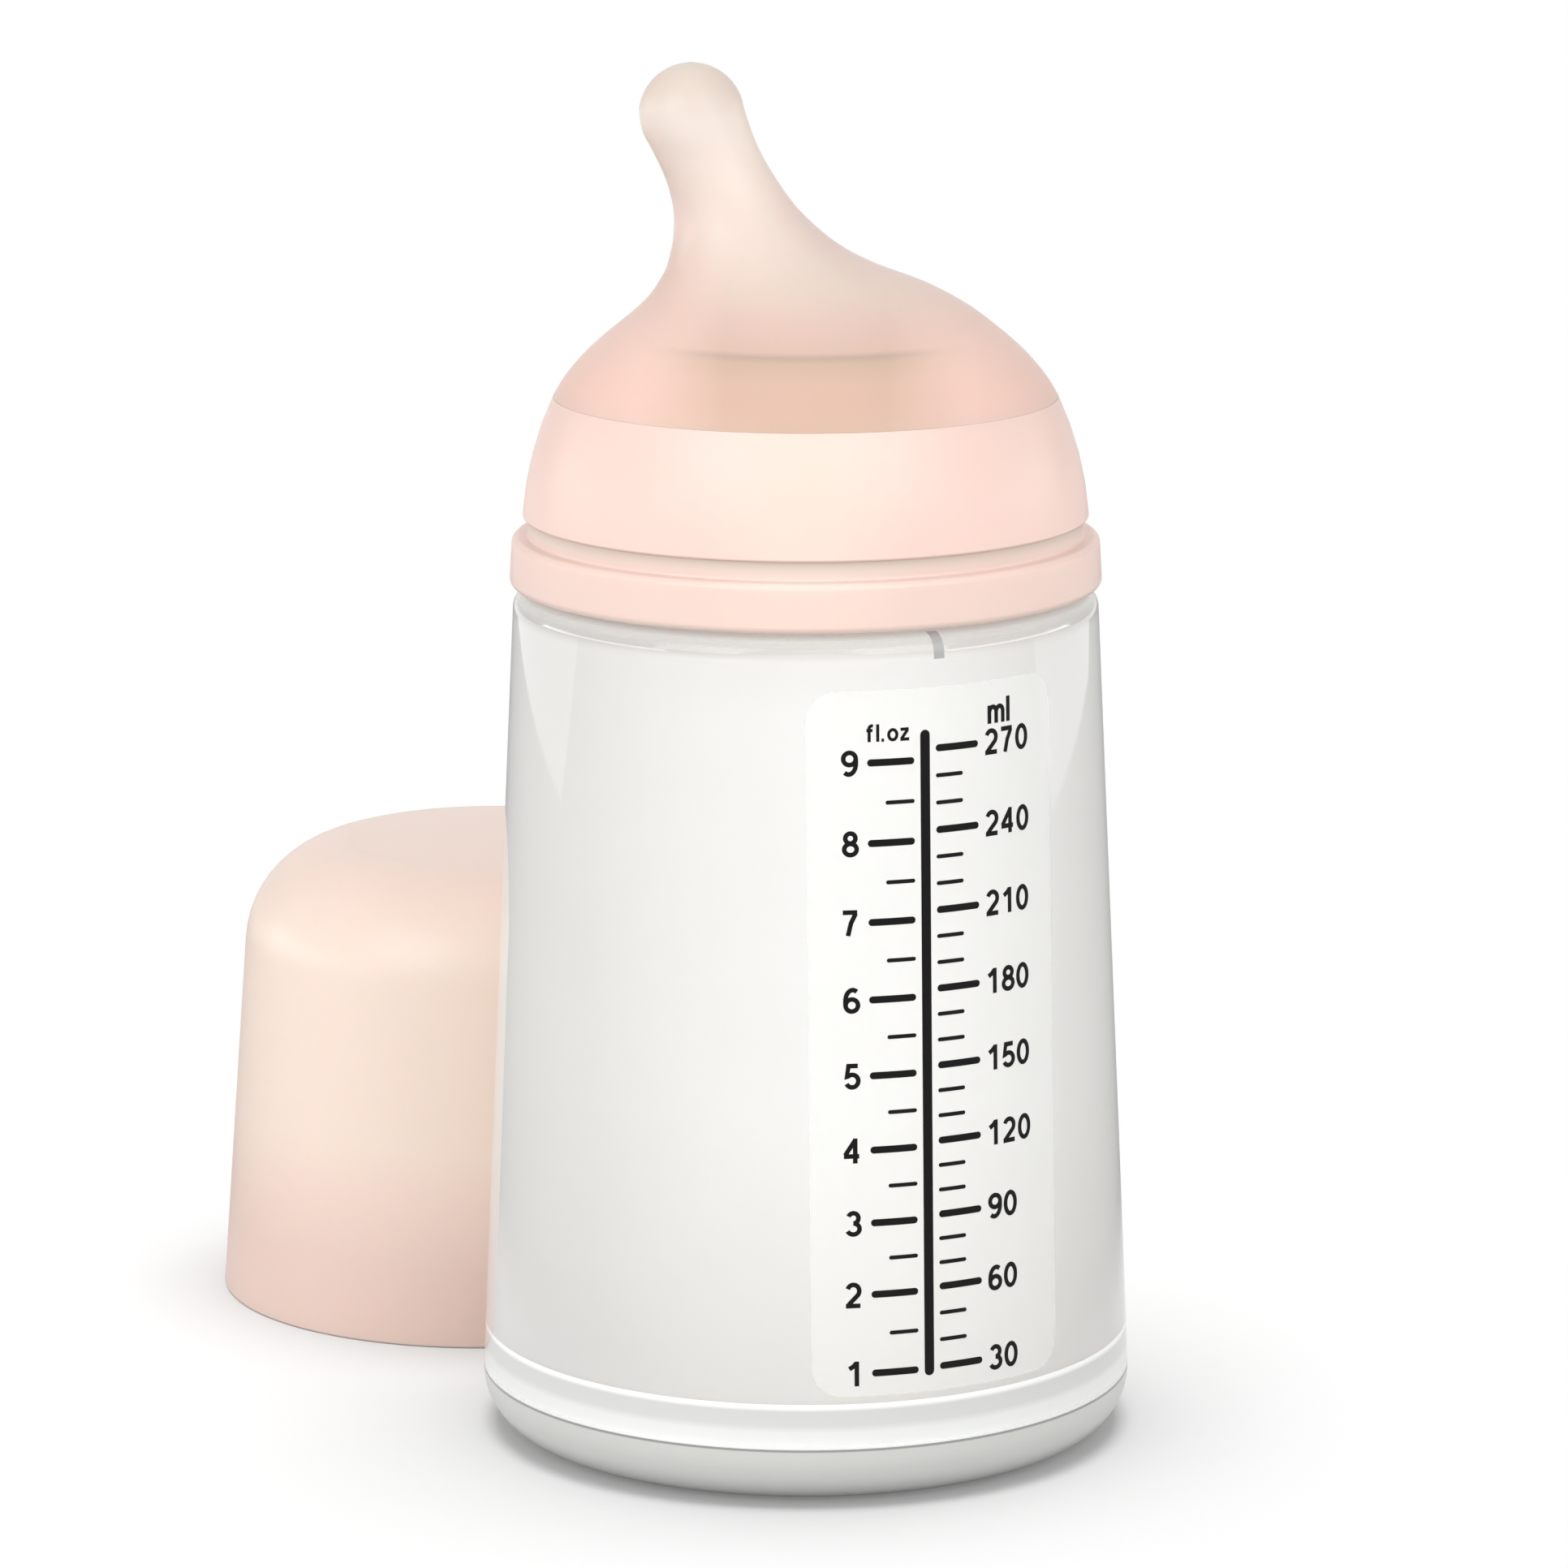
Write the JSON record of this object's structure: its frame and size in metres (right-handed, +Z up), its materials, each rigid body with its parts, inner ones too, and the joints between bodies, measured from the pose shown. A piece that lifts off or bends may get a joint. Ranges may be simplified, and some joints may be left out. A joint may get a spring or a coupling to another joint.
{
  "type": "baby feeding bottle",
  "caption": "Tapered clear baby bottle with a collapsing silicone liner, vented base cap, domed screw collar, leaning silicone teat and a loose hood standing beside it.",
  "frame": {"origin": "centre of the bottle's foot, on the surface it stands on", "axes": "+Z up along the bottle's axis, -X the way the teat leans, -Y the side with the scale, which faces the viewer"},
  "size_m": [0.1109, 0.1321, 0.1589],
  "materials": {
    "clear_plastic": "clear gloss",
    "white_plastic": "satin",
    "liner_silicone": "frosted",
    "peach_plastic": "satin",
    "teat_silicone": "soft matt",
    "hood_plastic": "translucent satin"
  },
  "bodies": {
    "bottle": {"bottle_shell": "clear_plastic", "base_cap": "white_plastic", "liner_bag": "liner_silicone"},
    "teat": {"teat": "teat_silicone"},
    "collar": {"collar": "peach_plastic"},
    "hood": {"hood": "hood_plastic"}
  },
  "joints": [
    {"name": "teat_lift", "type": "slide", "parent": "bottle", "child": "teat", "axis": [0, 0, 1], "range_m": [0, 0.00901]},
    {"name": "collar_turn", "type": "hinge", "parent": "teat", "child": "collar", "pos_m": [0, 0, 0.11], "axis": [0, 0, 1], "range_deg": [0, 540]},
    {"name": "hood_lift", "type": "slide", "parent": "bottle", "child": "hood", "axis": [0, 0, 1], "range_m": [0, 0.175]}
  ],
  "couplings": [
    {"joint": "teat_lift", "follows": "collar_turn", "m_per_rad": 0.00095493}
  ]
}
